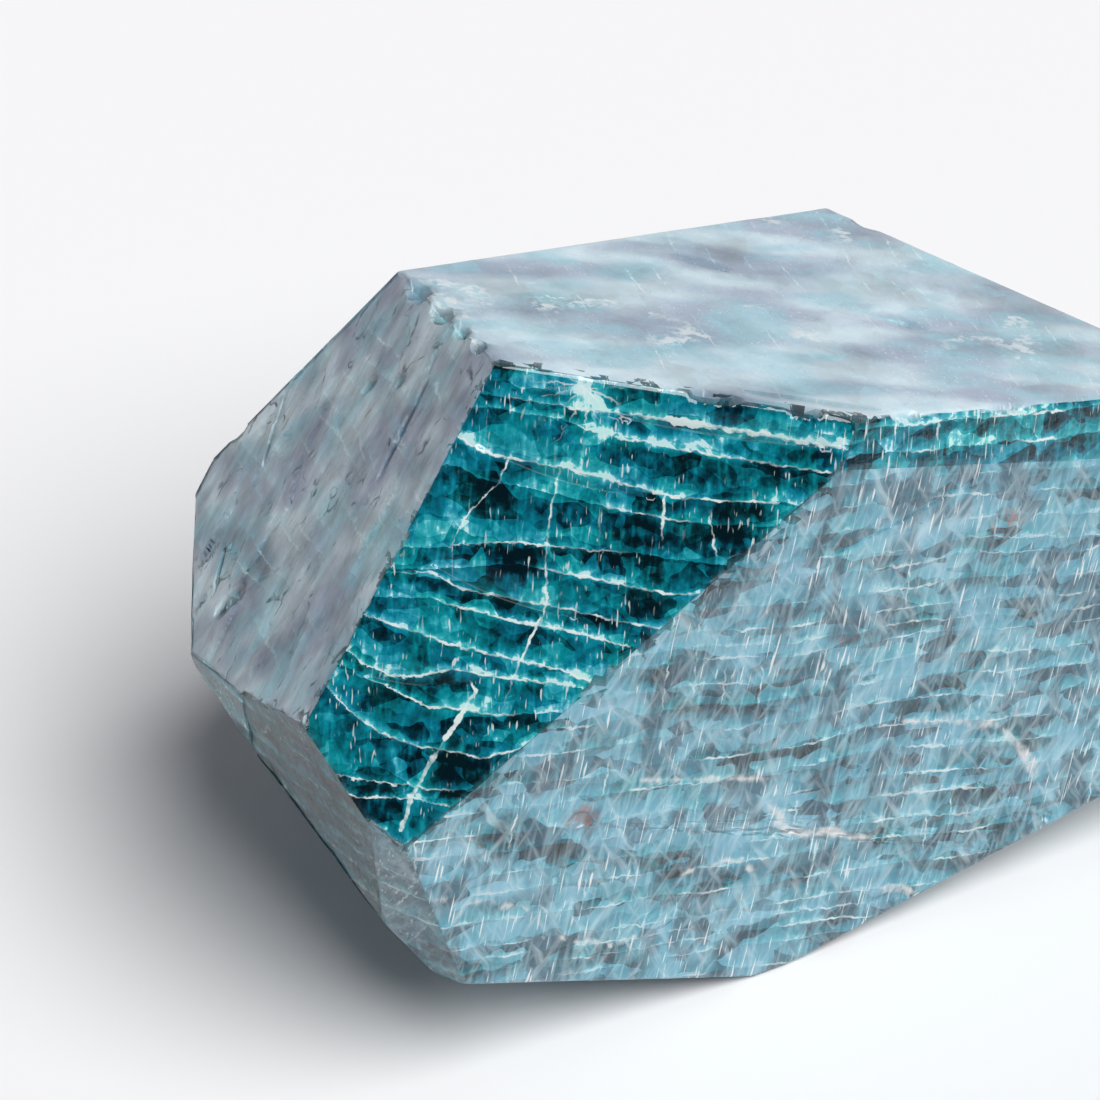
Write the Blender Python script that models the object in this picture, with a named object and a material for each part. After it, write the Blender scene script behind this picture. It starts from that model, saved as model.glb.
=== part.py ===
"""A hand-sized piece of apatite, ground to flat faces and polished, lying on its flat underside.

The stone is one solid. A block is cut down by the ground faces, one plane after another, the
edges are eased, and then the chips, pits and cleavage steps of the real stone are cut into it.
Metres, +Z up; the origin lies on the table under the middle of the stone.
"""

import math
import random

import bmesh
import bpy
from mathutils import Matrix, Vector

MM = 0.001

# The point that every ground face is measured from, and the size of the rough block.
MIDDLE = Vector((-2.8, -0.75, 28.0)) * MM
ROUGH_SIZE = 200 * MM

# Ground faces: the compass turn and the tilt above level of the way each looks, in degrees,
# and its distance from MIDDLE, in millimetres. Turn 0 is +X, -90 is the front.
FACES = {
    "top": (64.0, 71.0, 22.4),
    "left": (-165.5, 41.0, 38.1),
    "window": (-90.0, 39.5, 27.6),
    "front": (-62.5, 2.5, 18.2),
    "upper_strip": (-56.0, 22.0, 24.4),
    "lower_left": (-142.5, -10.5, 45.7),
    "corner": (-122.0, -12.5, 45.0),
    "left_sliver": (-147.0, -10.0, 46.4),
    "left_underside": (-164.5, -40.0, 38.0),
    "front_underside": (-116.0, -63.0, 34.0),
    "right_underside": (-47.5, -52.5, 32.5),
    "back_left": (121.0, 19.5, 29.3),
    "left_end": (141.0, -0.5, 39.5),
    "left_foot": (174.5, -23.0, 42.6),
    "back_right": (48.5, 24.5, 33.2),
    "right_end": (3.0, 8.5, 51.8),
    "right_foot": (25.5, -37.0, 48.6),
    "back_foot": (98.0, -30.0, 27.3),
    "base": (0.0, -90.0, 28.0),
}

# Polished edges are eased by hand on the wheel.
EDGE_EASING = 0.45 * MM
EASING_STEPS = 2

# Shallow scallops knocked out of the edges: the two faces, the place along their edge from
# its middle, the length and the depth, in millimetres.
EDGE_CHIPS = (
    ("top", "left", -9.6, 5.4, 1.3),
    ("top", "left", -4.4, 4.6, 1.6),
    ("top", "left", -0.4, 3.2, 1.1),
    ("top", "left", 3.0, 3.0, 1.2),
    ("top", "window", -6.5, 6.5, 0.6),
    ("top", "window", 0.8, 5.0, 0.5),
    ("top", "upper_strip", -2.5, 4.6, 0.7),
    ("top", "upper_strip", 7.5, 5.4, 0.6),
    ("left", "window", -12.8, 4.0, 0.35),
    ("window", "front", -2.0, 3.2, 0.4),
    ("window", "front", -16.0, 4.0, 0.4),
    ("left", "back_left", 21.0, 3.4, 0.6),
    ("lower_left", "left_underside", -12.0, 3.2, 0.7),
    ("front", "right_underside", 8.6, 3.0, 0.5),
    ("top", "back_right", 14.0, 4.5, 0.6),
    ("back_right", "right_end", 3.0, 5.0, 0.7),
    ("back_left", "back_right", -6.0, 4.5, 0.6),
)

# Pits: the face, the place on it across and up from its foot point, the width, the height
# and the depth, in millimetres.
PITS = (
    ("left", -0.6, -26.3, 2.2, 4.6, 0.7),
    ("left", -6.6, -5.4, 1.4, 2.4, 0.6),
    ("left", -3.4, -2.4, 1.2, 1.8, 0.5),
    ("top", 12.2, -6.4, 6.5, 1.2, 0.35),
    ("top", -7.6, -6.0, 5.0, 1.4, 0.3),
    ("front", 18.7, -22.6, 1.3, 1.3, 0.5),
    ("front", -26.9, -4.2, 2.6, 2.0, 0.4),
    ("back_left", 4.0, 3.0, 3.0, 1.6, 0.5),
)

# Steps where the polish has broken away along the cleavage: the face, the two ends of the
# step, how far its middle sags, the height of the ramp above it and its depth, in millimetres.
CLEAVAGE_STEPS = (
    ("window", (-14.0, 12.4), (6.8, 9.4), 0.5, 2.0, 0.45),
    ("window", (-25.4, 10.6), (-7.6, 5.4), 1.2, 2.6, 0.35),
    ("window", (-28.8, 1.0), (-14.0, -4.4), 1.0, 2.4, 0.30),
    ("window", (-34.0, -8.4), (-22.0, -9.2), 0.8, 1.8, 0.25),
    ("left", (-6.6, -24.6), (-2.4, -28.2), 0.3, 1.0, 0.45),
    ("left", (-1.6, 1.2), (4.0, -9.0), 0.5, 1.6, 0.45),
    ("left", (-16.0, -13.0), (-9.5, -19.0), 0.4, 1.4, 0.35),
    ("top", (-1.0, 19.6), (-15.0, 13.6), 0.6, 2.2, 0.30),
    ("front", (-6.0, 14.0), (12.0, 18.0), 0.8, 2.2, 0.25),
    ("back_right", (-6.0, 4.0), (9.0, 1.0), 0.8, 2.4, 0.40),
    ("back_left", (-12.0, -4.0), (2.0, -7.0), 0.8, 2.4, 0.40),
    ("right_end", (-6.0, 4.0), (5.0, 1.0), 0.6, 2.0, 0.35),
)

CHIP_ROUGHNESS = 0.12
CHIP_SPREAD = 0.75
STEP_CLEARANCE = 0.5 * MM
STEP_STATIONS = 8
STEP_FULLNESS = 0.6


def facing(name):
    """The unit vector that a ground face looks along."""
    turn, tilt, _ = FACES[name]
    level = math.cos(math.radians(tilt))
    return Vector((
        level * math.cos(math.radians(turn)),
        level * math.sin(math.radians(turn)),
        math.sin(math.radians(tilt)),
    ))


def foot_point(name):
    """The point of a ground face's plane nearest to MIDDLE."""
    return MIDDLE + facing(name) * FACES[name][2] * MM


def on_face(name, across, up, out=0.0):
    """A point by its millimetres across and up a face from the foot point, and out of it."""
    sideways = Vector((0, 0, 1)).cross(facing(name)).normalized()
    upward = facing(name).cross(sideways)
    return foot_point(name) + (sideways * across + upward * up + facing(name) * out) * MM


def on_edge(first, second, along):
    """A point on the edge of two faces, and the edge's direction there."""
    direction = facing(first).cross(facing(second)).normalized()
    planes = Matrix((facing(first), facing(second), direction))
    reach = Vector((
        facing(first).dot(foot_point(first)),
        facing(second).dot(foot_point(second)),
        direction.dot(MIDDLE),
    ))
    return planes.inverted() @ reach + direction * along * MM, direction


def new_object(name, bm):
    mesh = bpy.data.meshes.new(name)
    bmesh.ops.recalc_face_normals(bm, faces=bm.faces)
    bm.to_mesh(mesh)
    bm.free()
    obj = bpy.data.objects.new(name, mesh)
    bpy.context.scene.collection.objects.link(obj)
    return obj


def polished_apatite():
    material = bpy.data.materials.new("polished_apatite")
    material.use_nodes = True
    shader = material.node_tree.nodes["Principled BSDF"]
    shader.inputs["Base Color"].default_value = (0.045, 0.27, 0.32, 1.0)
    shader.inputs["Roughness"].default_value = 0.12
    shader.inputs["Metallic"].default_value = 0.0
    return material


def grind(bm, name):
    """Takes away what lies outside one ground face and closes the cut."""
    cut = bmesh.ops.bisect_plane(
        bm,
        geom=bm.verts[:] + bm.edges[:] + bm.faces[:],
        plane_co=foot_point(name),
        plane_no=facing(name),
        clear_outer=True,
    )
    rim = [item for item in cut["geom_cut"] if isinstance(item, bmesh.types.BMEdge)]
    bmesh.ops.holes_fill(bm, edges=rim, sides=0)


def rough_block():
    bm = bmesh.new()
    bmesh.ops.create_cube(bm, size=ROUGH_SIZE, matrix=Matrix.Translation(MIDDLE))
    return bm


def add_scallop(bm, centre, axes, radii, seed):
    """Adds a slightly uneven ellipsoid, the shape that a shell-like break leaves behind."""
    jitter = random.Random(seed)
    frame = Matrix(axes).transposed()
    made = bmesh.ops.create_icosphere(bm, subdivisions=2, radius=1.0)
    for vert in made["verts"]:
        uneven = 1 + CHIP_ROUGHNESS * (jitter.random() - 0.5)
        scaled = Vector((part * radius for part, radius in zip(vert.co, radii)))
        vert.co = centre + frame @ (scaled * uneven)


def add_chips(bm):
    """Adds scallops along the edges, each centred outside the stone so that it cuts shallowly."""
    for number, (first, second, along, length, depth) in enumerate(EDGE_CHIPS):
        point, direction = on_edge(first, second, along)
        outward = (facing(first) + facing(second)).normalized()
        sideways = outward.cross(direction)
        half_length = length * MM / 2
        half_width = half_length * CHIP_SPREAD
        reach = 2 * depth * MM
        centre = point + outward * (reach - depth * MM)
        add_scallop(
            bm, centre, (direction, sideways, outward), (half_length, half_width, reach), number
        )


def add_pits(bm):
    """Adds hollows in the faces where a softer grain has fallen out."""
    for number, (name, across, up, width, height, depth) in enumerate(PITS):
        outward = facing(name)
        sideways = Vector((0, 0, 1)).cross(outward).normalized()
        upward = outward.cross(sideways)
        reach = 1.5 * depth
        centre = on_face(name, across, up, reach - depth)
        radii = (width * MM / 2, height * MM / 2, reach * MM)
        add_scallop(bm, centre, (sideways, upward, outward), radii, 100 + number)


def add_steps(bm):
    """Adds long wedges, deepest at the step, running out to nothing above it and at its ends."""
    clear = STEP_CLEARANCE / MM
    for name, start, end, bow, height, depth in CLEAVAGE_STEPS:
        tip = bm.verts.new(on_face(name, *start, clear))
        rings = []
        for station in range(1, STEP_STATIONS):
            along = station / STEP_STATIONS
            swell = math.sin(math.pi * along) ** STEP_FULLNESS
            across = start[0] + (end[0] - start[0]) * along
            up = start[1] + (end[1] - start[1]) * along - bow * math.sin(math.pi * along)
            depth_here = depth * swell
            run_out = height * swell * (1 + clear / depth_here)
            rings.append([
                bm.verts.new(on_face(name, across, up, -depth_here)),
                bm.verts.new(on_face(name, across, up + run_out, clear)),
                bm.verts.new(on_face(name, across, up, clear)),
            ])
        last = bm.verts.new(on_face(name, *end, clear))
        for index in range(3):
            following = (index + 1) % 3
            bm.faces.new((tip, rings[0][index], rings[0][following]))
            bm.faces.new((last, rings[-1][following], rings[-1][index]))
            for near, far in zip(rings, rings[1:]):
                bm.faces.new((near[index], far[index], far[following], near[following]))


def break_surface(stone):
    """Takes the chips, pits and steps out of the stone; their cutter stays as a hidden wire."""
    bm = bmesh.new()
    add_chips(bm)
    add_pits(bm)
    add_steps(bm)
    cutter = new_object("flaw_cutter", bm)
    cutter.hide_render = True
    cutter.display_type = "WIRE"
    flaws = stone.modifiers.new("surface_flaws", "BOOLEAN")
    flaws.operation = "DIFFERENCE"
    flaws.solver = "EXACT"
    flaws.object = cutter


def main():
    for obj in list(bpy.data.objects):
        bpy.data.objects.remove(obj)
    bm = rough_block()
    for name in FACES:
        grind(bm, name)
    stone = new_object("stone", bm)
    stone.data.materials.append(polished_apatite())
    easing = stone.modifiers.new("edge_easing", "BEVEL")
    easing.width = EDGE_EASING
    easing.segments = EASING_STEPS
    easing.limit_method = "ANGLE"
    easing.angle_limit = math.radians(3)
    break_surface(stone)


if __name__ == "__main__":
    main()
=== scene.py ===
"""A polished apatite freeform on a white studio floor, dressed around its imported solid.

The stone keeps the solid's ground faces, chips and cleavage steps. Its surface is cut finer
here, gets the low relief of the real stone, and carries where the cleavage sheets, upright
cracks, veins and stains run, so that the material can draw them at their real widths.
"""

import math
import random
from collections import namedtuple

import bmesh
import bpy
import numpy as np
from mathutils import Matrix, Vector, noise


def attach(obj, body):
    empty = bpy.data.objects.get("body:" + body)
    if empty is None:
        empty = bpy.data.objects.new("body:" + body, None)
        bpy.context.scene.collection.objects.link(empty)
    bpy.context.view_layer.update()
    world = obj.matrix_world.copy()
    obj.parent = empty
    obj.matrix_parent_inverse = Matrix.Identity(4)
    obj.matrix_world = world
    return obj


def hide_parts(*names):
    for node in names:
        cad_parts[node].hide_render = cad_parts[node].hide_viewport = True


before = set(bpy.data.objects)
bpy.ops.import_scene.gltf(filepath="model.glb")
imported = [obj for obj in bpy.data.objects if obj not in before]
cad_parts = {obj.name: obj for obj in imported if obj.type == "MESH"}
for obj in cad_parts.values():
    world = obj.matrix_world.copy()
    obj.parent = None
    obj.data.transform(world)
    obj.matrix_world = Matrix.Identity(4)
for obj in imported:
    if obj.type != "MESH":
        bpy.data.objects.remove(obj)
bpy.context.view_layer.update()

bl_info = {
    "name": "Apatite Freeform",
    "version": (1, 0, 0),
    "blender": (4, 5, 0),
    "location": "View3D > Sidebar > Apatite",
    "description": "Dresses a polished apatite freeform and its white studio floor",
    "category": "Object",
}

MM = 0.001

# The point that the ground faces are measured from, as in the stone's own drawing.
MIDDLE = Vector((-2.8, -0.75, 28.0)) * MM

# A ground face: the turn and tilt of the way it looks, in degrees; then its finish, from 0 to 1:
# milky haze over the colour, criss-cross web in that haze, matt flaky grain; and how light the
# haze is, where 1 is its own colour. That last is painted light and shade: the haze is drawn
# lighter on the top, darker on the side faces and darkest on the faces that look down.
GroundFace = namedtuple("GroundFace", "turn tilt haze web flake light")
FACES = {
    "top": GroundFace(64.0, 71.0, 0.84, 0.1, 0.15, 1.12),
    "left": GroundFace(-165.5, 41.0, 0.88, 0.0, 1.0, 0.86),
    "window": GroundFace(-90.0, 39.5, 0.0, 0.0, 0.0, 1.0),
    "front": GroundFace(-62.5, 2.5, 0.45, 1.0, 0.0, 0.88),
    "upper_strip": GroundFace(-56.0, 22.0, 0.0, 0.1, 0.0, 0.8),
    "lower_left": GroundFace(-142.5, -10.5, 0.70, 0.1, 1.0, 0.16),
    "corner": GroundFace(-122.0, -12.5, 0.66, 0.6, 0.6, 0.42),
    "left_sliver": GroundFace(-147.0, -10.0, 0.35, 0.1, 0.3, 0.2),
    "left_underside": GroundFace(-164.5, -40.0, 0.55, 0.3, 0.4, 0.3),
    "front_underside": GroundFace(-116.0, -63.0, 0.50, 0.5, 0.2, 0.4),
    "right_underside": GroundFace(-47.5, -52.5, 0.50, 0.5, 0.2, 0.4),
    "back_left": GroundFace(121.0, 19.5, 0.60, 0.6, 0.3, 0.6),
    "left_end": GroundFace(141.0, -0.5, 0.60, 0.3, 0.6, 0.5),
    "left_foot": GroundFace(174.5, -23.0, 0.60, 0.3, 0.6, 0.4),
    "back_right": GroundFace(48.5, 24.5, 0.30, 0.6, 0.1, 0.6),
    "right_end": GroundFace(3.0, 8.5, 0.55, 0.9, 0.2, 0.6),
    "right_foot": GroundFace(25.5, -37.0, 0.60, 0.5, 0.4, 0.4),
    "back_foot": GroundFace(98.0, -30.0, 0.60, 0.5, 0.4, 0.4),
    "base": GroundFace(0.0, -90.0, 0.60, 0.5, 0.4, 0.4),
}
FACE_NAMES = list(FACES)

# The longest edges of the finished mesh in mm, where a finish needs fine ones and elsewhere, and
# how often long edges are halved at most to get there.
FINE_FACES = {"window": 0.5, "upper_strip": 0.6, "left": 0.55, "top": 1.6, "front": 1.4}
COARSE_EDGE = 2.4
CUTTING_PASSES = 7

# What counts as one point and as flat when the solid's triangles are joined, and as smooth when
# the stone is shaded.
SAME_POINT = 0.001 * MM
FLAT_BELOW = math.radians(0.3)
SMOOTH_BELOW = math.radians(24)

# How much of the haze is gone where the polished surface is chipped away; how far below the
# ground faces the eased edges lie, which are not chips; and how much deeper a full chip is.
CLEAR_WHERE_BROKEN = 0.55
EDGE_ROUNDING = 0.2 * MM
CHIP_DEPTH = 0.4 * MM

# How far below the ground faces the low relief has faded away.
RELIEF_FADE = 1.0 * MM

# Cleavage sheets where they meet the window, top to bottom. Each is a run of points: the
# millimetres across and up the face from its foot point, and the width of the white line.
WINDOW_SHEETS = (
    ((-22.6, 16.8, 0.20), (-15.1, 15.3, 0.25), (-2.5, 13.5, 0.20), (7.7, 12.1, 0.20)),
    ((-21.8, 13.7, 0.0), (-20.3, 13.5, 0.08), (-16.0, 12.8, 0.10), (-12.4, 12.4, 0.35),
     (-3.8, 11.2, 0.50), (5.8, 9.5, 0.40), (7.1, 9.3, 0.0)),
    ((-17.0, 12.0, 0.0), (-13.6, 10.7, 0.12), (-4.5, 9.0, 0.12), (4.0, 7.7, 0.12),
     (6.0, 7.5, 0.0)),
    ((-25.1, 10.4, 0.16), (-23.6, 9.4, 0.20), (-21.7, 8.9, 0.16), (-16.9, 8.0, 0.14),
     (-13.6, 7.1, 0.20), (-8.1, 5.7, 0.16), (-3.6, 5.3, 0.08), (0.7, 5.2, 0.14)),
    ((-14.5, 5.2, 0.0), (-12.4, 4.7, 0.08), (-8.4, 3.9, 0.10), (-6.6, 3.7, 0.05),
     (-5.3, 3.5, 0.0)),
    ((-26.6, 1.5, 0.0), (-25.7, 1.7, 0.08), (-20.8, 2.0, 0.12), (-17.1, 1.6, 0.08),
     (-13.6, 1.3, 0.06), (-10.5, 1.1, 0.0)),
    ((-19.4, 0.1, 0.0), (-18.1, -0.1, 0.10), (-15.1, -0.8, 0.12), (-8.1, -2.2, 0.16),
     (-5.4, -2.2, 0.10)),
    ((-29.9, 0.9, 0.10), (-28.6, 0.4, 0.16), (-24.8, -1.8, 0.20), (-20.8, -2.6, 0.16),
     (-16.0, -3.5, 0.14), (-12.6, -4.3, 0.10), (-7.2, -5.4, 0.14)),
    ((-26.6, -2.8, 0.0), (-25.3, -3.1, 0.10), (-21.7, -4.1, 0.12), (-19.3, -4.6, 0.16),
     (-16.3, -5.1, 0.14), (-11.4, -6.4, 0.10)),
    ((-33.1, -3.7, 0.14), (-29.6, -4.9, 0.14), (-25.7, -6.3, 0.12), (-20.8, -7.5, 0.14),
     (-17.5, -8.2, 0.14), (-14.5, -9.3, 0.10)),
    ((-34.3, -6.7, 0.06), (-32.7, -7.9, 0.12), (-30.8, -8.8, 0.14), (-28.7, -8.9, 0.10),
     (-25.7, -8.2, 0.10), (-21.1, -9.0, 0.14), (-15.7, -9.6, 0.10)),
    ((-33.1, -8.8, 0.0), (-31.5, -9.2, 0.08), (-29.9, -10.1, 0.10), (-27.5, -11.3, 0.08),
     (-25.1, -11.4, 0.10), (-21.7, -12.0, 0.05), (-17.0, -11.7, 0.0)),
    ((-35.8, -9.4, 0.10), (-33.9, -11.6, 0.10), (-31.5, -13.4, 0.10), (-28.7, -14.4, 0.12),
     (-26.0, -14.8, 0.16), (-23.6, -15.4, 0.12), (-21.5, -15.1, 0.10), (-19.3, -14.4, 0.05)),
    ((-35.1, -16.7, 0.05), (-33.6, -17.1, 0.10), (-29.6, -17.6, 0.12), (-27.4, -18.0, 0.08),
     (-24.2, -18.0, 0.0)),
    ((-34.3, -18.2, 0.08), (-33.2, -18.5, 0.10), (-28.7, -18.6, 0.12), (-25.8, -19.3, 0.10)),
    ((-32.3, -20.8, 0.10), (-29.5, -22.8, 0.10)),
)

# Upright cracks in the window, left to right, in the same measures; the first one widens
# into the thick white vein at the face's lower corner.
WINDOW_CRACKS = (
    ((-21.1, 8.9, 0.08), (-21.9, 6.8, 0.12), (-23.5, 5.3, 0.12), (-24.9, 3.6, 0.12),
     (-25.7, 1.9, 0.08), (-25.7, -2.6, 0.0), (-24.2, -9.1, 0.0), (-23.8, -10.1, 0.25),
     (-24.9, -11.9, 0.40), (-27.0, -15.1, 0.50), (-28.9, -18.4, 0.50), (-29.7, -21.2, 0.60)),
    ((-16.8, 8.6, 0.0), (-16.9, 8.1, 0.10), (-17.7, 4.4, 0.12), (-18.0, 2.3, 0.14),
     (-18.1, 0.0, 0.20), (-18.0, -3.1, 0.14), (-19.4, -5.9, 0.14), (-20.8, -9.0, 0.10),
     (-21.8, -12.3, 0.0)),
    ((-13.6, 5.4, 0.0), (-13.7, 3.8, 0.05), (-14.0, -2.6, 0.0)),
    ((-8.3, 6.2, 0.0), (-8.5, 5.6, 0.12), (-8.7, 3.1, 0.10), (-8.8, 1.8, 0.0)),
    ((-4.7, 5.0, 0.0), (-5.0, 4.0, 0.10), (-4.7, 2.6, 0.12), (-4.4, 1.2, 0.08), (-4.3, 0.6, 0.0)),
    ((6.1, 11.5, 0.0), (6.0, 10.2, 0.20), (5.8, 9.0, 0.25), (5.7, 7.8, 0.15)),
)

# Painted shade and painted glow in the window: dark patches where its clear depths look dark
# (below 0) and bright glowing patches (above 0); the place across and up, the half width and
# half height in millimetres, and the strength.
WINDOW_PAINTED_DEPTHS_AND_GLOW = (
    (-20.2, 0.6, 2.2, 1.3, -0.60),
    (-26.0, -17.0, 1.6, 2.0, -0.60),
    (-11.2, 1.2, 3.0, 2.4, -0.32),
    (-2.9, 3.0, 2.6, 2.0, -0.22),
    (-12.9, -4.2, 4.6, 1.0, -0.30),
    (-23.4, 6.8, 2.6, 1.6, -0.16),
    (-23.4, 13.6, 2.6, 1.6, -0.05),
    (-4.1, 7.0, 6.0, 1.2, -0.20),
    (-34.3, -13.9, 3.0, 3.4, -0.18),
    (-5.7, 10.2, 9.0, 0.8, 0.30),
    (-25.8, 3.0, 2.0, 1.6, 0.18),
    (-7.3, -4.7, 1.8, 1.2, 0.42),
    (1.6, 5.0, 2.2, 1.2, 0.30),
    (-30.3, -14.9, 0.9, 0.7, 0.40),
    (-14.9, 14.0, 1.4, 1.6, 0.42),
    (-22.0, 11.5, 3.0, 1.0, 0.12),
    (-28.4, -2.2, 2.6, 1.6, 0.14),
    (-24.5, -20.0, 2.6, 1.2, 0.22),
)

# The burst of small cracks under the top edge: its centre, its reach and its count of rays.
BURST_CENTRE = (-14.9, 14.4)
BURST_REACH = 5.4
BURST_RAYS = 15

# White and pinkish veins on the front face, as runs of points across and up it, with a width.
FRONT_VEINS = (
    ((3.7, -5.8, 0.5), (8.8, -7.9, 0.6), (12.7, -9.7, 0.6), (16.0, -13.8, 0.7),
     (17.2, -17.5, 0.9)),
    ((-21.2, -2.7, 0.4), (-18.8, -3.4, 0.5), (-13.2, -5.3, 0.5), (-9.5, -6.8, 0.6)),
    ((-8.8, -9.9, 0.8), (-7.5, -13.2, 0.7), (-3.1, -15.2, 0.7), (0.5, -17.2, 0.5)),
    ((-17.5, -14.0, 0.5), (-11.9, -15.3, 0.5), (-10.4, -16.7, 0.5), (-9.9, -18.5, 0.3)),
    ((-40.7, -7.2, 0.4), (-34.4, -10.2, 0.5), (-28.9, -12.9, 0.4)),
    ((-30.8, -15.6, 0.3), (-25.2, -18.6, 0.5), (-21.4, -19.1, 0.4)),
    ((1.3, -23.6, 0.4), (5.8, -25.5, 0.5)),
)

# Rust and pale crust on the front face: across, up, half width, half height, strength.
FRONT_STAINS = (
    (-1.4, 4.9, 3.6, 1.6, 0.9),
    (-26.8, -4.2, 1.8, 1.6, 1.0),
    (12.8, 12.1, 2.4, 1.6, 0.7),
    (17.0, -19.5, 2.2, 2.6, 0.8),
    (-14.0, -1.0, 3.2, 2.6, 0.5),
    (-36.0, -8.0, 1.6, 1.2, 0.6),
)

# The cleavage sheets run a little below the top face, and the upright needles across them: the
# way each family looks, the least and most room between two, their width, and how far out from
# the stone's middle they are laid, all in mm.
CLEAVAGE_NORMAL = Vector((0.156, 0.223, 0.962)).normalized()
NEEDLE_NORMAL = Vector((0.967, 0.196, -0.163)).normalized()
SHEET_SPACING = (1.1, 2.9)
SHEET_WIDTH = 0.13
CRACK_SPACING = (1.6, 4.2)
CRACK_WIDTH = 0.09
STONE_REACH = 80.0

# A flake of the matt left face: its width, its thickness and its length; then where in the noise
# its bends across, outwards and along are read.
FLAKE_SIZE = (2.6 * MM, 2.6 * MM, 7.0 * MM)
FLAKE_SHIFTS = (0.0, 31.7, 57.3)

# Soft patches all through the stone, by their size along the crystal's axes in mm, each with its
# own seed: for light and dark with thick and thin haze, for pale and lavender, and for blue.
PATCHES = (((7, 7, 4), 1), ((15, 5.5, 5.5), 2), ((8, 4, 6), 3))

# The window's drawn lines, in mm: where along them their heights are worked out, the least
# distance between two, the room before the first and past the last, the soft rim beside a white
# line, and how far its glow reaches.
STATIONS = np.linspace(-60, 60, 601)
LEAST_GAP = 0.15
OUTER_GAP = 2.0
LINE_RIM = 0.09
GLOW_REACH = 0.75

# Noise all through the stone: the size of its lumps along the crystal's axes in mm, its detail
# and its roughness.
NOISES = {
    "jitter": ((0.9, 0.9, 0.9), 2, 0.6),
    "fray": ((1.5, 1.5, 1.5), 2, 0.6),
    "needle": ((0.19, 0.5, 3.2), 0, 0.5),
    "hairs": ((0.45, 0.9, 6.0), 1, 0.5),
    "bent": ((2.0, 2.0, 2.0), 1, 0.5),
    "speck": ((0.8, 0.8, 1.5), 2, 0.65),
    "lens": ((3.0, 3.2, 5.2), 1, 0.5),
}

# How far from the window, in mm, the haze can be broken away at its edges.
RIM_LOSS = 1.4

# Bits of crystal between the cracks, by their size along the crystal's axes in mm; the scales
# of the matt faces and their grain, along the flakes' axes; and how the web's streaks lean.
BLOCK_SIZE = (2.9, 4.4, 1.5)
SHARD_SIZE = (1.1, 1.6, 0.75)
SCALE_SIZE = (2.3, 2.3, 6.5)
GRAIN_SIZE = (1.4, 1.4, 5.0)
WEB_LEANS = (math.radians(33), math.radians(-24))

# How strongly apatite bends light, and the height of the relief that is too fine for the mesh.
APATITE_IOR = 1.63
FINE_RELIEF = 0.12 * MM

# The crystal's colours from dark to bright, between its deepest one and its brightest: the
# painted shade of its dark depths up to the painted glow of thin, lit stone, with some tone that
# differs at random; those with no colour here are settings of the stone.
DARK_CRYSTAL = "#002f3a"
MIDDLE_CRYSTAL = "#06808f"
PALE_CRYSTAL = "#68bcc6"
BRIGHTEST_CRYSTAL = "#b9dfe0"

# The colours of what fills the cracks, and of what lies over the crystal.
CRACK_FILLING = "#d9e6e4"
RUSTY_FILLING = "#b98a6c"
LAVENDER_HAZE = "#98a3b5"
BLUE_HAZE = "#8fc0cd"
WEB_HAZE = "#69b2cb"
WEB_STREAK = "#d6e8ee"
WEB_GAP = "#2a4153"
VEILED_LINE = "#dfe5e6"
NEEDLE = "#e3e6e5"
FLAKE_GAP = "#27424c"
PALE_VEIN = "#dcdcdb"
RUST = "#a07268"

# How two colours, or a value's two ranges, meet in a node.
LAID_OVER = {"data_type": "RGBA", "blend_type": "MIX"}
SHADED_BY = {"data_type": "RGBA", "blend_type": "MULTIPLY"}
EASED = {"interpolation_type": "SMOOTHSTEP"}

# The stage: where the key light comes from; the camera's place, its tilt and the nearest that it
# sees; and how far under the stone's base the floor lies, so that the two do not flicker.
KEY_LIGHT_FROM = Vector((0.406, -0.341, 0.848))
CAMERA_PLACE = Vector((-20.56, -360.7, 331.5)) * MM
CAMERA_TILT = math.radians(50)
CAMERA_NEAR = 10 * MM
FLOOR_HEIGHT = -0.05 * MM


class ApatiteStoneSettings(bpy.types.PropertyGroup):
    """Sizes and colours of the stone."""

    # The deep colour is that of the painted dark depths, the glow colour that of the painted
    # glow.
    deep_colour: bpy.props.StringProperty(
        name="Deep colour", description="Hex colour of the clear depths", default="#00161d"
    )
    body_colour: bpy.props.StringProperty(
        name="Body colour", description="Hex colour of the clear stone", default="#045f6d"
    )
    glow_colour: bpy.props.StringProperty(
        name="Glow colour", description="Hex colour of thin, lit stone", default="#2f9fad"
    )
    haze_colour: bpy.props.StringProperty(
        name="Haze colour", description="Hex colour of the palest milky haze", default="#c9dbe2"
    )
    relief: bpy.props.FloatProperty(
        name="Relief", description="Depth of the flaky grain", default=0.30 * MM, unit="LENGTH"
    )
    wear: bpy.props.FloatProperty(
        name="Line wander", description="How far fine noise moves a line", default=0.65, min=0.0
    )


class ApatiteStageSettings(bpy.types.PropertyGroup):
    """The floor, the light and the camera."""

    floor_size: bpy.props.FloatProperty(
        name="Floor size", description="Side of the floor", default=1.4, unit="LENGTH"
    )
    light_strength: bpy.props.FloatProperty(
        name="Light strength", description="Strength of the soft key light", default=3.42
    )
    light_spread: bpy.props.FloatProperty(
        name="Light spread",
        description="Angle that the soft light fills",
        default=math.radians(50),
        subtype="ANGLE",
    )
    lens: bpy.props.FloatProperty(
        name="Lens", description="Focal length of the close-up lens, in mm", default=180.0
    )


def linear(hex_colour, alpha=1.0):
    """The linear RGBA of an sRGB hex colour."""
    parts = [int(hex_colour[start:start + 2], 16) / 255 for start in (1, 3, 5)]
    return (*(p / 12.92 if p <= 0.04045 else ((p + 0.055) / 1.055) ** 2.4 for p in parts), alpha)


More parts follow.
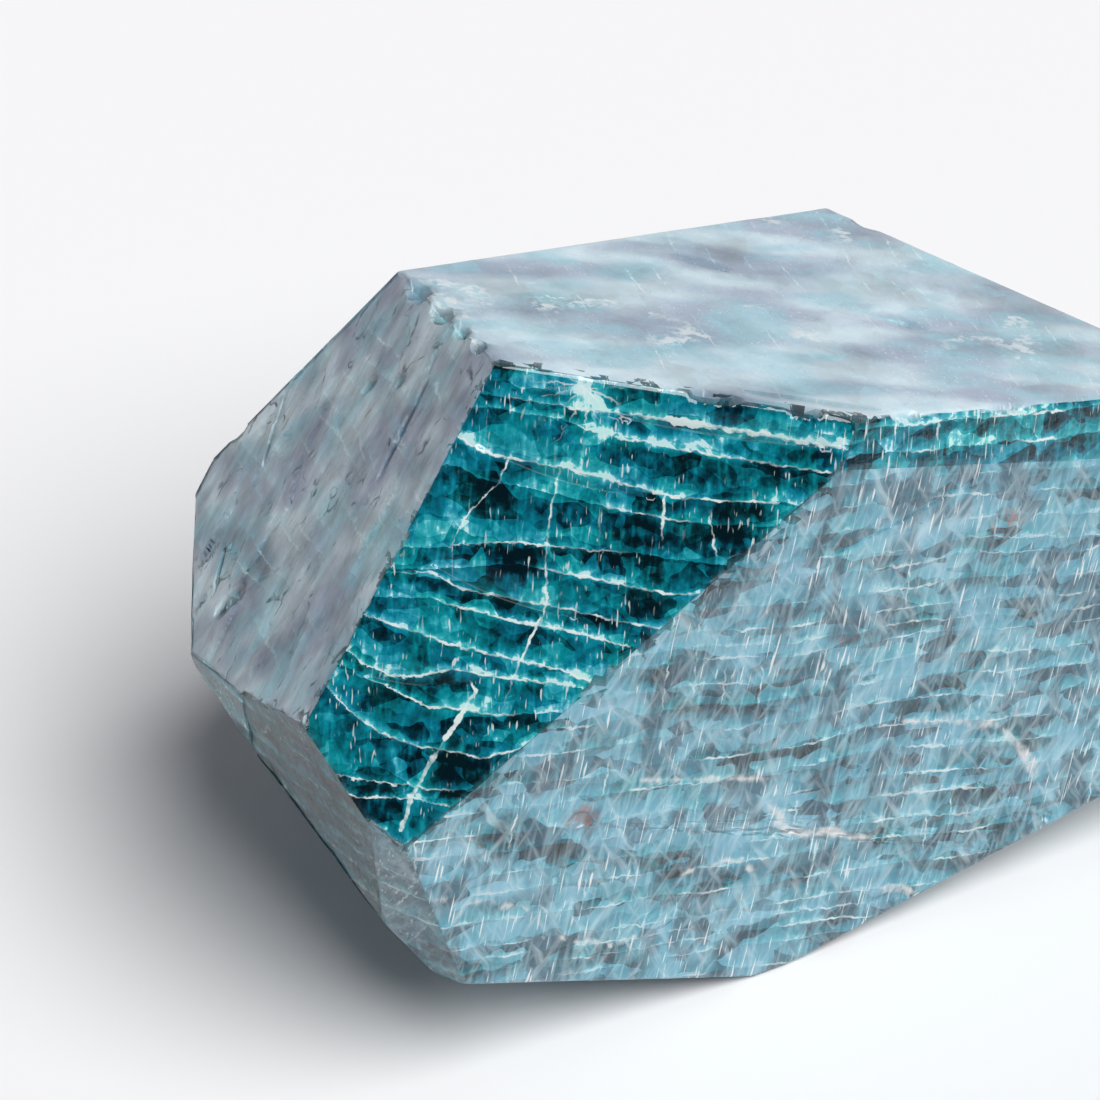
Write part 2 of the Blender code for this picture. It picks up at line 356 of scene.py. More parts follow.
def add(tree, kind, inputs=(), **settings):
    """Adds a shader node with its settings; an input is a value, or the node or socket before it.

    Inputs go by name, or in order over the sockets that the settings leave in use.
    """
    node = tree.nodes.new("ShaderNode" + kind)
    for setting, value in settings.items():
        setattr(node, setting, value)
    used = [socket for socket in node.inputs if socket.enabled]
    pairs = inputs.items() if isinstance(inputs, dict) else enumerate(inputs)
    for key, value in pairs:
        socket = node.inputs[key] if isinstance(key, str) else used[key]
        if isinstance(value, bpy.types.Node):
            value = next(output for output in value.outputs if output.enabled)
        if isinstance(value, bpy.types.NodeSocket):
            tree.links.new(value, socket)
        else:
            socket.default_value = value
    return node


def select_only(piece):
    """Leaves one object selected and active."""
    bpy.ops.object.select_all(action="DESELECT")
    piece.select_set(True)
    bpy.context.view_layer.objects.active = piece


def facing(name):
    """The unit vector that a ground face looks along."""
    turn, tilt = math.radians(FACES[name].turn), math.radians(FACES[name].tilt)
    level = math.cos(tilt)
    return Vector((level * math.cos(turn), level * math.sin(turn), math.sin(tilt)))


def points_of(mesh):
    """A mesh's points, one row each, in metres."""
    flat = np.empty(len(mesh.vertices) * 3)
    mesh.vertices.foreach_get("co", flat)
    return flat.reshape(-1, 3)


def crystal_axes():
    """The crystal's own axes: across the needle planes, along them, and square to the sheets."""
    along = CLEAVAGE_NORMAL.cross(NEEDLE_NORMAL).normalized()
    return along.cross(CLEAVAGE_NORMAL), along, CLEAVAGE_NORMAL


def face_planes(points):
    """The outward directions of the ground faces and how far out the stone reaches in each."""
    directions = np.array([facing(name) for name in FACE_NAMES])
    return directions, (points @ directions.T).max(axis=0)


def nearest_face(points, planes):
    """For each point, the number of the ground face it lies on, and its depth below that."""
    directions, reach = planes
    depth = reach - points @ directions.T
    return depth.argmin(axis=1), depth.min(axis=1)


def on_face(points, name):
    """Millimetres across and up a ground face from the foot point of MIDDLE."""
    sideways = Vector((0, 0, 1)).cross(facing(name)).normalized()
    upward = facing(name).cross(sideways)
    offset = (points - np.array(MIDDLE)) / MM
    return offset @ np.array(sideways), offset @ np.array(upward)


def cut_finer(piece, planes):
    """Splits long edges in edit mode until each ground face has the fineness its finish needs."""
    directions, reach = planes
    select_only(piece)
    bpy.ops.object.mode_set(mode="EDIT")
    bpy.ops.mesh.select_mode(type="EDGE")
    longest = {FACE_NAMES.index(name): size * MM for name, size in FINE_FACES.items()}
    for _ in range(CUTTING_PASSES):
        bm = bmesh.from_edit_mesh(piece.data)
        bm.verts.ensure_lookup_table()
        points = np.array([vert.co for vert in bm.verts])
        face_of = (reach - points @ directions.T).argmin(axis=1)
        long_edges = 0
        for edge in bm.edges:
            ends = [face_of[vert.index] for vert in edge.verts]
            limit = max(longest.get(end, COARSE_EDGE * MM) for end in ends)
            edge.select_set(edge.calc_length() > limit)
            long_edges += edge.select
        if not long_edges:
            break
        bm.select_flush_mode()
        bpy.ops.mesh.subdivide(number_cuts=1)
        bpy.ops.mesh.select_all(action="SELECT")
        bpy.ops.mesh.quads_convert_to_tris(quad_method="SHORTEST_DIAGONAL")
    bpy.ops.object.mode_set(mode="OBJECT")


def levels_of(lines):
    """Heights of ordered lines at even stations; past its ends a line follows the one above."""
    levels = []
    for line in lines:
        places, heights, _ = zip(*sorted(line))
        level = np.interp(STATIONS, places, heights)
        if levels:
            held = np.clip(STATIONS, places[0], places[-1])
            level += levels[-1] - np.interp(held, STATIONS, levels[-1])
            level = np.minimum(level, levels[-1] - LEAST_GAP)
        levels.append(level)
    return levels


def between(lines, along, height):
    """Where each point lies among ordered lines: line number, gap to the next, line width."""
    levels = [np.interp(along, STATIONS, level) for level in levels_of(lines)]
    widths = []
    for line in lines:
        places, _, sizes = zip(*sorted(line))
        widths.append(np.interp(along, places, sizes, left=0, right=0))
    place = np.maximum((levels[0] - height) / OUTER_GAP, -0.5)
    gap = np.full(len(along), OUTER_GAP)
    width = widths[0].copy()
    for number in range(1, len(lines)):
        upper, lower = levels[number - 1], levels[number]
        below = height <= upper
        share = np.clip((upper - height) / (upper - lower), 0, 1)
        place = np.where(below, number - 1 + share, place)
        gap = np.where(below, upper - lower, gap)
        nearer = np.where(share < 0.5, widths[number - 1], widths[number])
        width = np.where(below, nearer, width)
    past = height < levels[-1]
    beyond = np.minimum((levels[-1] - height) / OUTER_GAP, 0.5)
    place = np.where(past, len(lines) - 1 + beyond, place)
    gap = np.where(past, OUTER_GAP, gap)
    return np.stack([place, gap, width], axis=1)


def uneven_steps(spacing, seed):
    """Positions from one side of the stone to the other, unevenly spaced."""
    draw = random.Random(seed)
    positions = [-STONE_REACH]
    while positions[-1] < STONE_REACH:
        positions.append(positions[-1] + draw.uniform(*spacing))
    return np.array(positions)


def wander(points, size, seed):
    """Smooth noise from about -1 to 1 at each point, its lumps about this many mm across."""
    shift = Vector((seed * 17.3, seed * 5.1, seed * 9.7))
    scale = 1 / (size * MM)
    return np.array([noise.noise(Vector(point) * scale + shift) for point in points])


def patches(points, size, seed):
    """Soft uneven patches from 0 to 1, stretched along the crystal's own axes by a size in mm."""
    shift = Vector((seed * 3.7, seed * 8.9, seed * 1.3))
    axes = [axis / (length * MM) for axis, length in zip(crystal_axes(), size)]
    values = []
    for point in points:
        spot = Vector(axis.dot(Vector(point)) for axis in axes) + shift
        values.append(noise.fractal(spot, 1.0, 2.0, 3))
    return np.clip(0.5 + 0.32 * np.array(values), 0, 1)


def family(points, normal, spacing, width, seed):
    """Sheets square to a direction all through the stone: number, gap to the next, width."""
    positions = uneven_steps(spacing, seed)
    # A sheet bends by about a mm over the stone, and its white filling comes and goes.
    warp = 1.1 * wander(points, 14, seed) + 0.35 * wander(points, 4, seed + 1)
    reach = -(points @ np.array(normal)) / MM + warp
    numbers = np.arange(len(positions))
    place = np.interp(reach, positions, numbers)
    gap = np.diff(positions)[np.clip(place.astype(int), 0, len(positions) - 2)]
    strength = np.clip(wander(points, 5, seed + 2) * 2.2 + 0.15, 0, 1)
    return np.stack([place, gap, width * strength], axis=1)


def blobs(across, up, spots):
    """Soft patches added up: each a place, a half width and height, and a strength."""
    total = np.zeros(len(across))
    for centre, height, half_width, half_height, strength in spots:
        spread = ((across - centre) / half_width) ** 2 + ((up - height) / half_height) ** 2
        total += strength * np.exp(-spread)
    return total


def vein_strength(across, up, veins):
    """1 in the middle of a vein, falling to 0 at its edge."""
    best = np.zeros(len(across))
    for vein in veins:
        for (x0, y0, w0), (x1, y1, w1) in zip(vein, vein[1:]):
            span = (x1 - x0) ** 2 + (y1 - y0) ** 2
            share = np.clip(((across - x0) * (x1 - x0) + (up - y0) * (y1 - y0)) / span, 0, 1)
            far = np.hypot(across - x0 - share * (x1 - x0), up - y0 - share * (y1 - y0))
            width = w0 + share * (w1 - w0)
            best = np.maximum(best, np.clip(1.3 - far / width, 0, 1))
    return best


def store(mesh, name, kind, values):
    """Notes one number or one vector for each point of the mesh."""
    attribute = mesh.attributes.new(name, kind, "POINT")
    field = "vector" if kind == "FLOAT_VECTOR" else "value"
    attribute.data.foreach_set(field, np.ascontiguousarray(values, np.float32).ravel())


def note_inner_structure(piece, planes):
    """Stores on the mesh how each face is finished, its painted light and shade, and where
    sheets, cracks and veins run.
    """
    mesh = piece.data
    points = points_of(mesh)
    face_of, depth = nearest_face(points, planes)
    broken = np.clip((depth - EDGE_ROUNDING) / CHIP_DEPTH, 0, 1)
    # The last of these, light, is each face's painted light and shade on its haze.
    for finish in ("haze", "web", "flake", "light"):
        amounts = np.array([getattr(FACES[name], finish) for name in FACE_NAMES])[face_of]
        if finish == "haze":
            amounts = amounts * (1 - CLEAR_WHERE_BROKEN * broken)
        store(mesh, finish, "FLOAT", amounts)

    sheets = family(points, CLEAVAGE_NORMAL, SHEET_SPACING, SHEET_WIDTH, seed=3)
    cracks = family(points, NEEDLE_NORMAL, CRACK_SPACING, CRACK_WIDTH, seed=11)
    across, up = on_face(points, "window")
    window = face_of == FACE_NAMES.index("window")
    sheets[window] = between(WINDOW_SHEETS, across, up)[window]
    upright = [
        [(-height, -place, width) for place, height, width in crack] for crack in WINDOW_CRACKS
    ]
    cracks[window] = between(upright, -up, -across)[window]
    _, reach = planes
    below_window = reach[FACE_NAMES.index("window")] - points @ np.array(facing("window"))
    store(mesh, "rim", "FLOAT", below_window / MM)
    store(mesh, "sheets", "FLOAT_VECTOR", sheets)
    store(mesh, "cracks", "FLOAT_VECTOR", cracks)

    soft = [patches(points, size, seed) for size, seed in PATCHES]
    store(mesh, "patches", "FLOAT_VECTOR", np.stack(soft, axis=1))
    # The window's painted shade of dark depths and its painted glow; none on the other faces.
    store(mesh, "depth", "FLOAT", np.where(window, blobs(across, up, WINDOW_PAINTED_DEPTHS_AND_GLOW), 0))
    from_centre = np.hypot(across - BURST_CENTRE[0], up - BURST_CENTRE[1])
    turn = np.arctan2(up - BURST_CENTRE[1], across - BURST_CENTRE[0])
    rays = BURST_RAYS * (turn / math.tau + 0.5) + 0.5 * wander(points, 2.2, seed=31)
    near = np.where(window, np.clip(1 - from_centre / BURST_REACH, 0, 1), 0)
    store(mesh, "burst", "FLOAT_VECTOR", np.stack([rays, from_centre, near], axis=1))

    across, up = on_face(points, "front")
    front = face_of == FACE_NAMES.index("front")
    ragged = 0.35 * wander(points, 1.3, seed=41)
    sway = 0.9 * wander(points, 6, seed=42)
    veins = vein_strength(across + ragged, up + ragged + sway, FRONT_VEINS)
    store(mesh, "vein", "FLOAT", np.where(front, veins, 0))
    stains = blobs(across, up, FRONT_STAINS) + 0.9 * np.clip(wander(points, 6, seed=43), 0, 1)
    elsewhere = 0.35 * np.clip(wander(points, 7, seed=45), 0, 1)
    store(mesh, "stain", "FLOAT", np.where(front, stains, elsewhere))


def flake_axes():
    """The left face's grain: across the flakes, outwards, and along them."""
    run = facing("left").cross(facing("window")).normalized()
    side = run.cross(facing("left")).normalized()
    return side, run.cross(side), run


def plate_height(point, axes):
    """How high a point of an overlapping flake stands, from 0 to about 1."""
    spot = Vector(axis.dot(point) / size for axis, size in zip(axes, FLAKE_SIZE))
    # Three plain noises bend the flakes, because noise_vector is another one at each run.
    bend = Vector(noise.noise(spot * 1.7 + Vector((shift, 0, 0))) for shift in FLAKE_SHIFTS)
    spot += bend * 0.35
    _, seeds = noise.voronoi(spot)
    tilt = 0.5 + 0.45 * (spot - seeds[0]).dot(Vector((0.9, 0.0, 0.5)))
    return 0.6 * tilt + 0.4 * noise.cell(seeds[0] * 7.3)


def carve_relief(piece, planes, relief):
    """Sinks the low relief of the real surface into the mesh, inwards only."""
    mesh = piece.data
    points = points_of(mesh)
    directions, _ = planes
    axes = flake_axes()
    face_of, depth = nearest_face(points, planes)
    flake = np.array([FACES[name].flake for name in FACE_NAMES])[face_of]
    plates = np.array([plate_height(Vector(point), axes) for point in points])
    sink = relief * flake * np.clip(1 - plates, 0, 1)
    sink *= np.clip(1 - depth / RELIEF_FADE, 0, 1)
    sink[face_of == FACE_NAMES.index("base")] = 0
    points -= directions[face_of] * sink[:, None]
    mesh.vertices.foreach_set("co", points.ravel())
    mesh.update()


def turned(tree, mm, axes, size):
    """Coordinates along three of the stone's own axes, in units of the sizes given in mm."""
    scale = tuple(1 / length for length in size)
    facing_axes = add(tree, "Mapping", {"Vector": mm, "Rotation": Matrix(axes).to_euler()})
    return add(tree, "Mapping", {"Vector": facing_axes, "Scale": scale})


def noted_lines(tree, name, offset, fray, wear):
    """The white line of each sheet or crack, its glow, and how far a point is to the next one."""
    noted = add(tree, "Attribute", attribute_name=name).outputs["Vector"]
    place, gap, width = add(tree, "SeparateXYZ", (noted,)).outputs
    moved = add(tree, "Math", (offset, wear), operation="MULTIPLY")
    moved = add(tree, "Math", (moved, gap), operation="DIVIDE")
    share = add(tree, "Math", (place, moved), operation="ADD")
    share = add(tree, "Math", (share,), operation="FRACT")
    left_over = add(tree, "Math", (1.0, share), operation="SUBTRACT")
    nearer = add(tree, "Math", (share, left_over), operation="MINIMUM")
    far = add(tree, "Math", (nearer, gap), operation="MULTIPLY")
    frayed = add(tree, "MapRange", (fray, 0.35, 0.75, 0.05, 0.75), **EASED)
    half = add(tree, "Math", (width, frayed), operation="MULTIPLY")
    rim = add(tree, "Math", (half, LINE_RIM), operation="ADD")
    line = add(tree, "MapRange", (far, half, rim, 1.0, 0.0), **EASED)
    strength = add(tree, "MapRange", (fray, 0.38, 0.60, 0.22, 1.0), **EASED)
    line = add(tree, "Math", (line, strength), operation="MULTIPLY")
    drawn = add(tree, "MapRange", (width, 0.01, 0.10), **EASED)
    line = add(tree, "Math", (line, drawn), operation="MULTIPLY")
    glow = add(tree, "MapRange", (far, 0.0, GLOW_REACH, 1.0, 0.0), **EASED)
    glow = add(tree, "Math", (glow, drawn), operation="MULTIPLY")
    return line, glow, share


def burst_rays(tree, offset, fray):
    """The burst: thin rays from one point, brighter and closer towards its middle."""
    noted = add(tree, "Attribute", attribute_name="burst").outputs["Vector"]
    turn, radius, near = add(tree, "SeparateXYZ", (noted,)).outputs
    turn = add(tree, "Math", (turn, offset), operation="ADD")
    turn = add(tree, "Math", (turn,), operation="FRACT")
    turn = add(tree, "Math", (turn, 0.5), operation="SUBTRACT")
    turn = add(tree, "Math", (turn,), operation="ABSOLUTE")
    arc = add(tree, "Math", (radius, math.tau / BURST_RAYS), operation="MULTIPLY")
    far = add(tree, "Math", (turn, arc), operation="MULTIPLY")
    rays = add(tree, "MapRange", (far, 0.02, 0.13, 1.0, 0.0), **EASED)
    rays = add(tree, "Math", (rays, near), operation="MULTIPLY")
    frayed = add(tree, "MapRange", (fray, 0.40, 0.60), **EASED)
    return add(tree, "Math", (rays, frayed), operation="MULTIPLY")


def milky_web(tree, mm, broad, hairs, web_share):
    """Soft milky streaks that cross at a slant in the haze of the big front face."""
    streaks = []
    sway = add(tree, "Math", (broad, 0.5), operation="SUBTRACT")
    sway = add(tree, "Math", (sway, 1.5), operation="MULTIPLY")
    for lean in WEB_LEANS:
        slanted = turned(tree, mm, crystal_axes(), (1, 1, 1))
        slanted = add(tree, "VectorMath", (slanted, sway), operation="ADD")
        slanted = add(tree, "Mapping", {"Vector": slanted, "Rotation": (0, lean, 0)})
        slanted = add(tree, "Mapping", {"Vector": slanted, "Scale": (1.15, 0.5, 0.17)})
        noisy = {"Vector": slanted, "Scale": 1.0, "Detail": 2.0, "Roughness": 0.6}
        streaks.append(add(tree, "TexNoise", noisy))
    web = add(tree, "Math", streaks, operation="MAXIMUM")
    web = add(tree, "MapRange", (web, 0.46, 0.80), **EASED)
    fine = add(tree, "Math", (hairs, 0.55), operation="MULTIPLY")
    web = add(tree, "Math", (web, fine), operation="MAXIMUM")
    return add(tree, "Math", (web, web_share), operation="MULTIPLY")


def flaky_scales(tree, mm, bent, broad, fray, flaky):
    """Long overlapping scales of cleaved crystal: the thin gaps, each scale's tone, the grain."""
    scaled = turned(tree, mm, flake_axes(), SCALE_SIZE)
    scaled = add(tree, "VectorMath", (scaled, bent), operation="ADD")
    cells = {"Vector": scaled, "Scale": 1.0}
    gap = add(tree, "TexVoronoi", cells, feature="DISTANCE_TO_EDGE")
    gap = add(tree, "MapRange", (gap, 0.0, 0.05, 1.0, 0.0), **EASED)
    gap = add(tree, "Math", (gap, flaky), operation="MULTIPLY")
    for source, low, high in ((broad, 0.42, 0.58), (fray, 0.45, 0.62)):
        seen = add(tree, "MapRange", (source, low, high), **EASED)
        gap = add(tree, "Math", (gap, seen), operation="MULTIPLY")
    tones = add(tree, "TexVoronoi", cells).outputs["Color"]
    scale_tone, _, _ = add(tree, "SeparateXYZ", (tones,)).outputs
    along = turned(tree, mm, flake_axes(), GRAIN_SIZE)
    noisy = {"Vector": along, "Scale": 1.0, "Detail": 3.0, "Roughness": 0.62}
    return gap, scale_tone, add(tree, "TexNoise", noisy)


def fractured_apatite(settings):
    """Polished apatite: clear teal crystal split by cleavage sheets and fine upright needles.

    To the eye: glassy dark depths with white hair lines where a face is clear, and a milky,
    bluish haze over the same lines where the polish is duller. Object coordinates, in mm.
    """
    material = bpy.data.materials.new("polished_fractured_apatite")
    material.use_nodes = True
    tree = material.node_tree
    tree.nodes.clear()
    where = add(tree, "TexCoord").outputs["Object"]
    mm = add(tree, "Mapping", {"Vector": where, "Scale": (1 / MM, 1 / MM, 1 / MM)})
    lattice = crystal_axes()

    haze, web_share, flaky, light, painted_depth_and_glow, stain_share, vein_share, rim = (
        add(tree, "Attribute", attribute_name=name).outputs["Fac"]
        for name in ("haze", "web", "flake", "light", "depth", "stain", "vein", "rim")
    )
    noted = add(tree, "Attribute", attribute_name="patches").outputs["Vector"]
    broad, sweep, cool = add(tree, "SeparateXYZ", (noted,)).outputs
    noises = {}
    for name, (size, detail, roughness) in NOISES.items():
        lumps = turned(tree, mm, lattice, size)
        noisy = {"Vector": lumps, "Scale": 1.0, "Detail": detail, "Roughness": roughness}
        noises[name] = add(tree, "TexNoise", noisy)
    fray = noises["fray"]
    offset = add(tree, "Math", (noises["jitter"], 0.5), operation="SUBTRACT")

    sheet, sheet_glow, share = noted_lines(tree, "sheets", offset, fray, settings.wear)
    crack, crack_glow, _ = noted_lines(tree, "cracks", offset, fray, settings.wear)
    burst = burst_rays(tree, offset, fray)

    # Needles: upright white hairs along the cleavage normal, under a tenth of a mm thick.
    needle = add(tree, "MapRange", (noises["needle"], 0.70, 0.79), **EASED)
    bunched = add(tree, "MapRange", (broad, 0.4, 0.6), **EASED)
    needle = add(tree, "Math", (needle, bunched), operation="MULTIPLY")
    hairs = add(tree, "MapRange", (noises["hairs"], 0.45, 0.75), **EASED)

    # Blocks and shards of clear crystal between the cracks, each lit a little differently.
    bent = add(tree, "Math", (noises["bent"], 0.5), operation="SUBTRACT")
    bent = add(tree, "Math", (bent, 0.7), operation="MULTIPLY")
    cells = []
    for size in (BLOCK_SIZE, SHARD_SIZE):
        bits = turned(tree, mm, lattice, size)
        bits = add(tree, "VectorMath", (bits, bent), operation="ADD")
        bits = add(tree, "TexVoronoi", {"Vector": bits, "Scale": 1.0}).outputs["Color"]
        cells.append(add(tree, "SeparateXYZ", (bits,)).outputs)
    (block_tone, block_hue, _), (shard_tone, _, _) = cells

    # Along the window's edges the haze and its web are broken away, bit by bit.
    whole = rim
    for bit in (block_tone, shard_tone):
        whole = add(tree, "Math", (bit, RIM_LOSS, whole), operation="MULTIPLY_ADD")
    whole = add(tree, "MapRange", (whole, RIM_LOSS - 0.05, RIM_LOSS + 0.05, 0.15, 1.0), **EASED)
    haze = add(tree, "Math", (haze, whole), operation="MULTIPLY")
    web_share = add(tree, "Math", (web_share, whole), operation="MULTIPLY")

    # Tone, painted shade and glow: dark just under a sheet, glowing towards the next one below
    # it, with the window's painted dark depths and glow added in.
    tone = add(tree, "Math", (share, 1.5), operation="POWER")
    tone = add(tree, "Math", (tone, 0.42, -0.465), operation="MULTIPLY_ADD")
    for source, weight in (
        (block_tone, 0.46),
        (shard_tone, 0.26),
        (broad, 0.70),
        (offset, 0.62),
        (sheet_glow, 0.20),
        (crack_glow, 0.12),
        (hairs, 0.22),
        (painted_depth_and_glow, 1.15),
    ):
        tone = add(tree, "Math", (source, weight, tone), operation="MULTIPLY_ADD")
    # The ramp paints the clear crystal from shaded, dark depths up to glowing, lit stone.
    crystal = add(tree, "ValToRGB", (tone,))
    ramp = crystal.color_ramp
    ramp.elements[0].color = linear(settings.deep_colour)
    ramp.elements[1].color = linear(BRIGHTEST_CRYSTAL)
    stops = (
        (0.16, DARK_CRYSTAL),
        (0.38, settings.body_colour),
        (0.60, MIDDLE_CRYSTAL),
        (0.82, settings.glow_colour),
        (0.94, PALE_CRYSTAL),
    )
    for position, stop in stops:
        ramp.elements.new(position).color = linear(stop)
    shift = add(tree, "MapRange", (block_hue, 0.0, 1.0, 0.488, 0.514), **EASED)
    crystal = add(tree, "HueSaturation", {"Hue": shift, "Color": crystal})

    # White fillings of the cracks, rust-brown here and there from iron.
    speck = noises["speck"]
    rust = add(tree, "Math", (stain_share, speck), operation="MULTIPLY")
    rust = add(tree, "MapRange", (rust, 0.36, 0.58, 0.0, 0.75), **EASED)
    needle = add(tree, "Math", (needle, 0.75), operation="MULTIPLY")
    white = sheet
    for line in (crack, burst, needle):
        white = add(tree, "Math", (white, line), operation="MAXIMUM")
    filling = add(tree, "Mix", (rust, linear(CRACK_FILLING), linear(RUSTY_FILLING)), **LAID_OVER)
    filled = add(tree, "Math", (white, 0.92), operation="MULTIPLY")
    inner = add(tree, "Mix", (filled, crystal, filling), **LAID_OVER)

    # Lenses: dark clear gaps in the web of the big front face.
    web = milky_web(tree, mm, broad, hairs, web_share)
    uneven = add(tree, "Math", (block_tone, 0.5), operation="SUBTRACT")
    lens = add(tree, "Math", (uneven, 0.16, noises["lens"]), operation="MULTIPLY_ADD")
    lens = add(tree, "MapRange", (lens, 0.36, 0.48, 1.0, 0.0), **EASED)
    lens = add(tree, "Math", (lens, web_share), operation="MULTIPLY")

    # Haze: a milky bluish veil with long lavender and pale patches, thick or thin by face.
    pale = add(tree, "MapRange", (sweep, 0.36, 0.64), **EASED)
    pale_haze = linear(settings.haze_colour)
    veil = add(tree, "Mix", (pale, linear(LAVENDER_HAZE), pale_haze), **LAID_OVER)
    blue = add(tree, "MapRange", (cool, 0.46, 0.66, 0.0, 0.65), **EASED)
    veil = add(tree, "Mix", (blue, veil, linear(BLUE_HAZE)), **LAID_OVER)
    webbed = add(tree, "Math", (web_share, 0.75), operation="MULTIPLY")
    veil = add(tree, "Mix", (webbed, veil, linear(WEB_HAZE)), **LAID_OVER)
    # Painted light and shade by face: the veil is made lighter on the top and darker on the side
    # and downward faces.
    veil = add(tree, "Mix", (1.0, veil, light), **SHADED_BY)
    swing = add(tree, "Math", (web_share, 3.2, 1.0), operation="MULTIPLY_ADD")
    thick = add(tree, "Math", (broad, 0.5), operation="SUBTRACT")
    thick = add(tree, "Math", (thick, swing), operation="MULTIPLY")
    thick = add(tree, "Math", (thick, haze, haze), operation="MULTIPLY_ADD")
    blocky = add(tree, "Math", (uneven, web_share), operation="MULTIPLY")
    thick = add(tree, "Math", (blocky, 0.45, thick), operation="MULTIPLY_ADD")
    thick = add(tree, "Clamp", (thick,))
    surface = add(tree, "Mix", (thick, inner, veil), **LAID_OVER)
    lens = add(tree, "Math", (lens, 0.62), operation="MULTIPLY")
    surface = add(tree, "Mix", (lens, surface, linear(WEB_GAP)), **LAID_OVER)
    web = add(tree, "Math", (web, 0.42), operation="MULTIPLY")
    surface = add(tree, "Mix", (web, surface, linear(WEB_STREAK)), **LAID_OVER)
    hidden = add(tree, "Math", (flaky, 0.65), operation="MULTIPLY")
    shown = add(tree, "Math", (0.85, hidden), operation="SUBTRACT")
    veiled = add(tree, "Math", (white, haze), operation="MULTIPLY")
    shown = add(tree, "Math", (veiled, shown), operation="MULTIPLY")
    surface = add(tree, "Mix", (shown, surface, linear(VEILED_LINE)), **LAID_OVER)

    # Flakes: each scale a little lighter or darker, with dark, thin gaps between them.
    gap, scale_tone, grain = flaky_scales(tree, mm, bent, broad, fray, flaky)
    shade = add(tree, "Math", (grain, 1.5, 0.18), operation="MULTIPLY_ADD")
    shade = add(tree, "Math", (scale_tone, 0.18, shade), operation="MULTIPLY_ADD")
    shade = add(tree, "Mix", (flaky, 1.0, shade))
    surface = add(tree, "Mix", (1.0, surface, shade), **SHADED_BY)
    gap = add(tree, "Math", (gap, 0.9), operation="MULTIPLY")
    surface = add(tree, "Mix", (gap, surface, linear(FLAKE_GAP)), **LAID_OVER)

    # Needles, pale veins and rust on the front face.
    upright = add(tree, "Math", (needle, web_share), operation="MULTIPLY")
    surface = add(tree, "Mix", (upright, surface, linear(NEEDLE)), **LAID_OVER)
    vein = add(tree, "Math", (vein_share, speck), operation="MULTIPLY")
    vein = add(tree, "MapRange", (vein, 0.20, 0.58, 0.0, 0.75), **EASED)
    surface = add(tree, "Mix", (vein, surface, linear(PALE_VEIN)), **LAID_OVER)
    stained = add(tree, "Math", (rust, 0.75), operation="MULTIPLY")
    surface = add(tree, "Mix", (stained, surface, linear(RUST)), **LAID_OVER)

    # Relief too fine for the mesh: the steps at the sheets, the flakes' edges and their grain.
    height = add(tree, "Math", (grain, 2.8, scale_tone), operation="MULTIPLY_ADD")
    height = add(tree, "Math", (height, flaky), operation="MULTIPLY")
    height = add(tree, "Math", (share, -0.5, height), operation="MULTIPLY_ADD")
    bump = add(tree, "Bump", {"Height": height, "Strength": 0.8, "Distance": FINE_RELIEF})
    rough = add(tree, "MapRange", (haze, 0.0, 0.9, 0.07, 0.36), **EASED)
    rough = add(tree, "Math", (white, 0.25, rough), operation="MULTIPLY_ADD")
    gloss = {"Base Color": surface, "Roughness": rough, "IOR": APATITE_IOR, "Normal": bump}
    shader = add(tree, "BsdfPrincipled", gloss)
    add(tree, "OutputMaterial", {"Surface": shader})
    return material


def white_card():
    """Matt white card: bright and even, with no gloss of its own."""
    material = bpy.data.materials.new("matt_white_card")
    material.use_nodes = True
    shader = material.node_tree.nodes["Principled BSDF"]
    shader.inputs["Base Color"].default_value = linear("#f3f3f4")
    shader.inputs["Roughness"].default_value = 0.9
    shader.inputs["Specular IOR Level"].default_value = 0.1
    return material


class APATITE_OT_stone(bpy.types.Operator):
    """Cut the stone's surface finer, carve its relief and give it its crystal"""

    bl_idname = "apatite.stone"
    bl_label = "Add stone"

    def execute(self, context):
        settings = context.scene.apatite_stone
        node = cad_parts["stone"]
        piece = bpy.data.objects.new("polished_stone", node.data.copy())
        piece.data.materials.clear()
        context.scene.collection.objects.link(piece)
        select_only(piece)
        bpy.ops.object.mode_set(mode="EDIT")
        bpy.ops.mesh.select_all(action="SELECT")
        bpy.ops.mesh.remove_doubles(threshold=SAME_POINT)
        bpy.ops.mesh.dissolve_limited(angle_limit=FLAT_BELOW)
        bpy.ops.mesh.quads_convert_to_tris(ngon_method="BEAUTY")
        bpy.ops.object.mode_set(mode="OBJECT")
        planes = face_planes(points_of(piece.data))
        cut_finer(piece, planes)
        note_inner_structure(piece, planes)
        carve_relief(piece, planes, settings.relief)
        select_only(piece)
        bpy.ops.object.shade_smooth_by_angle(angle=SMOOTH_BELOW)
        piece.data.materials.append(fractured_apatite(settings))
        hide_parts("stone")
        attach(piece, "root")
        return {"FINISHED"}


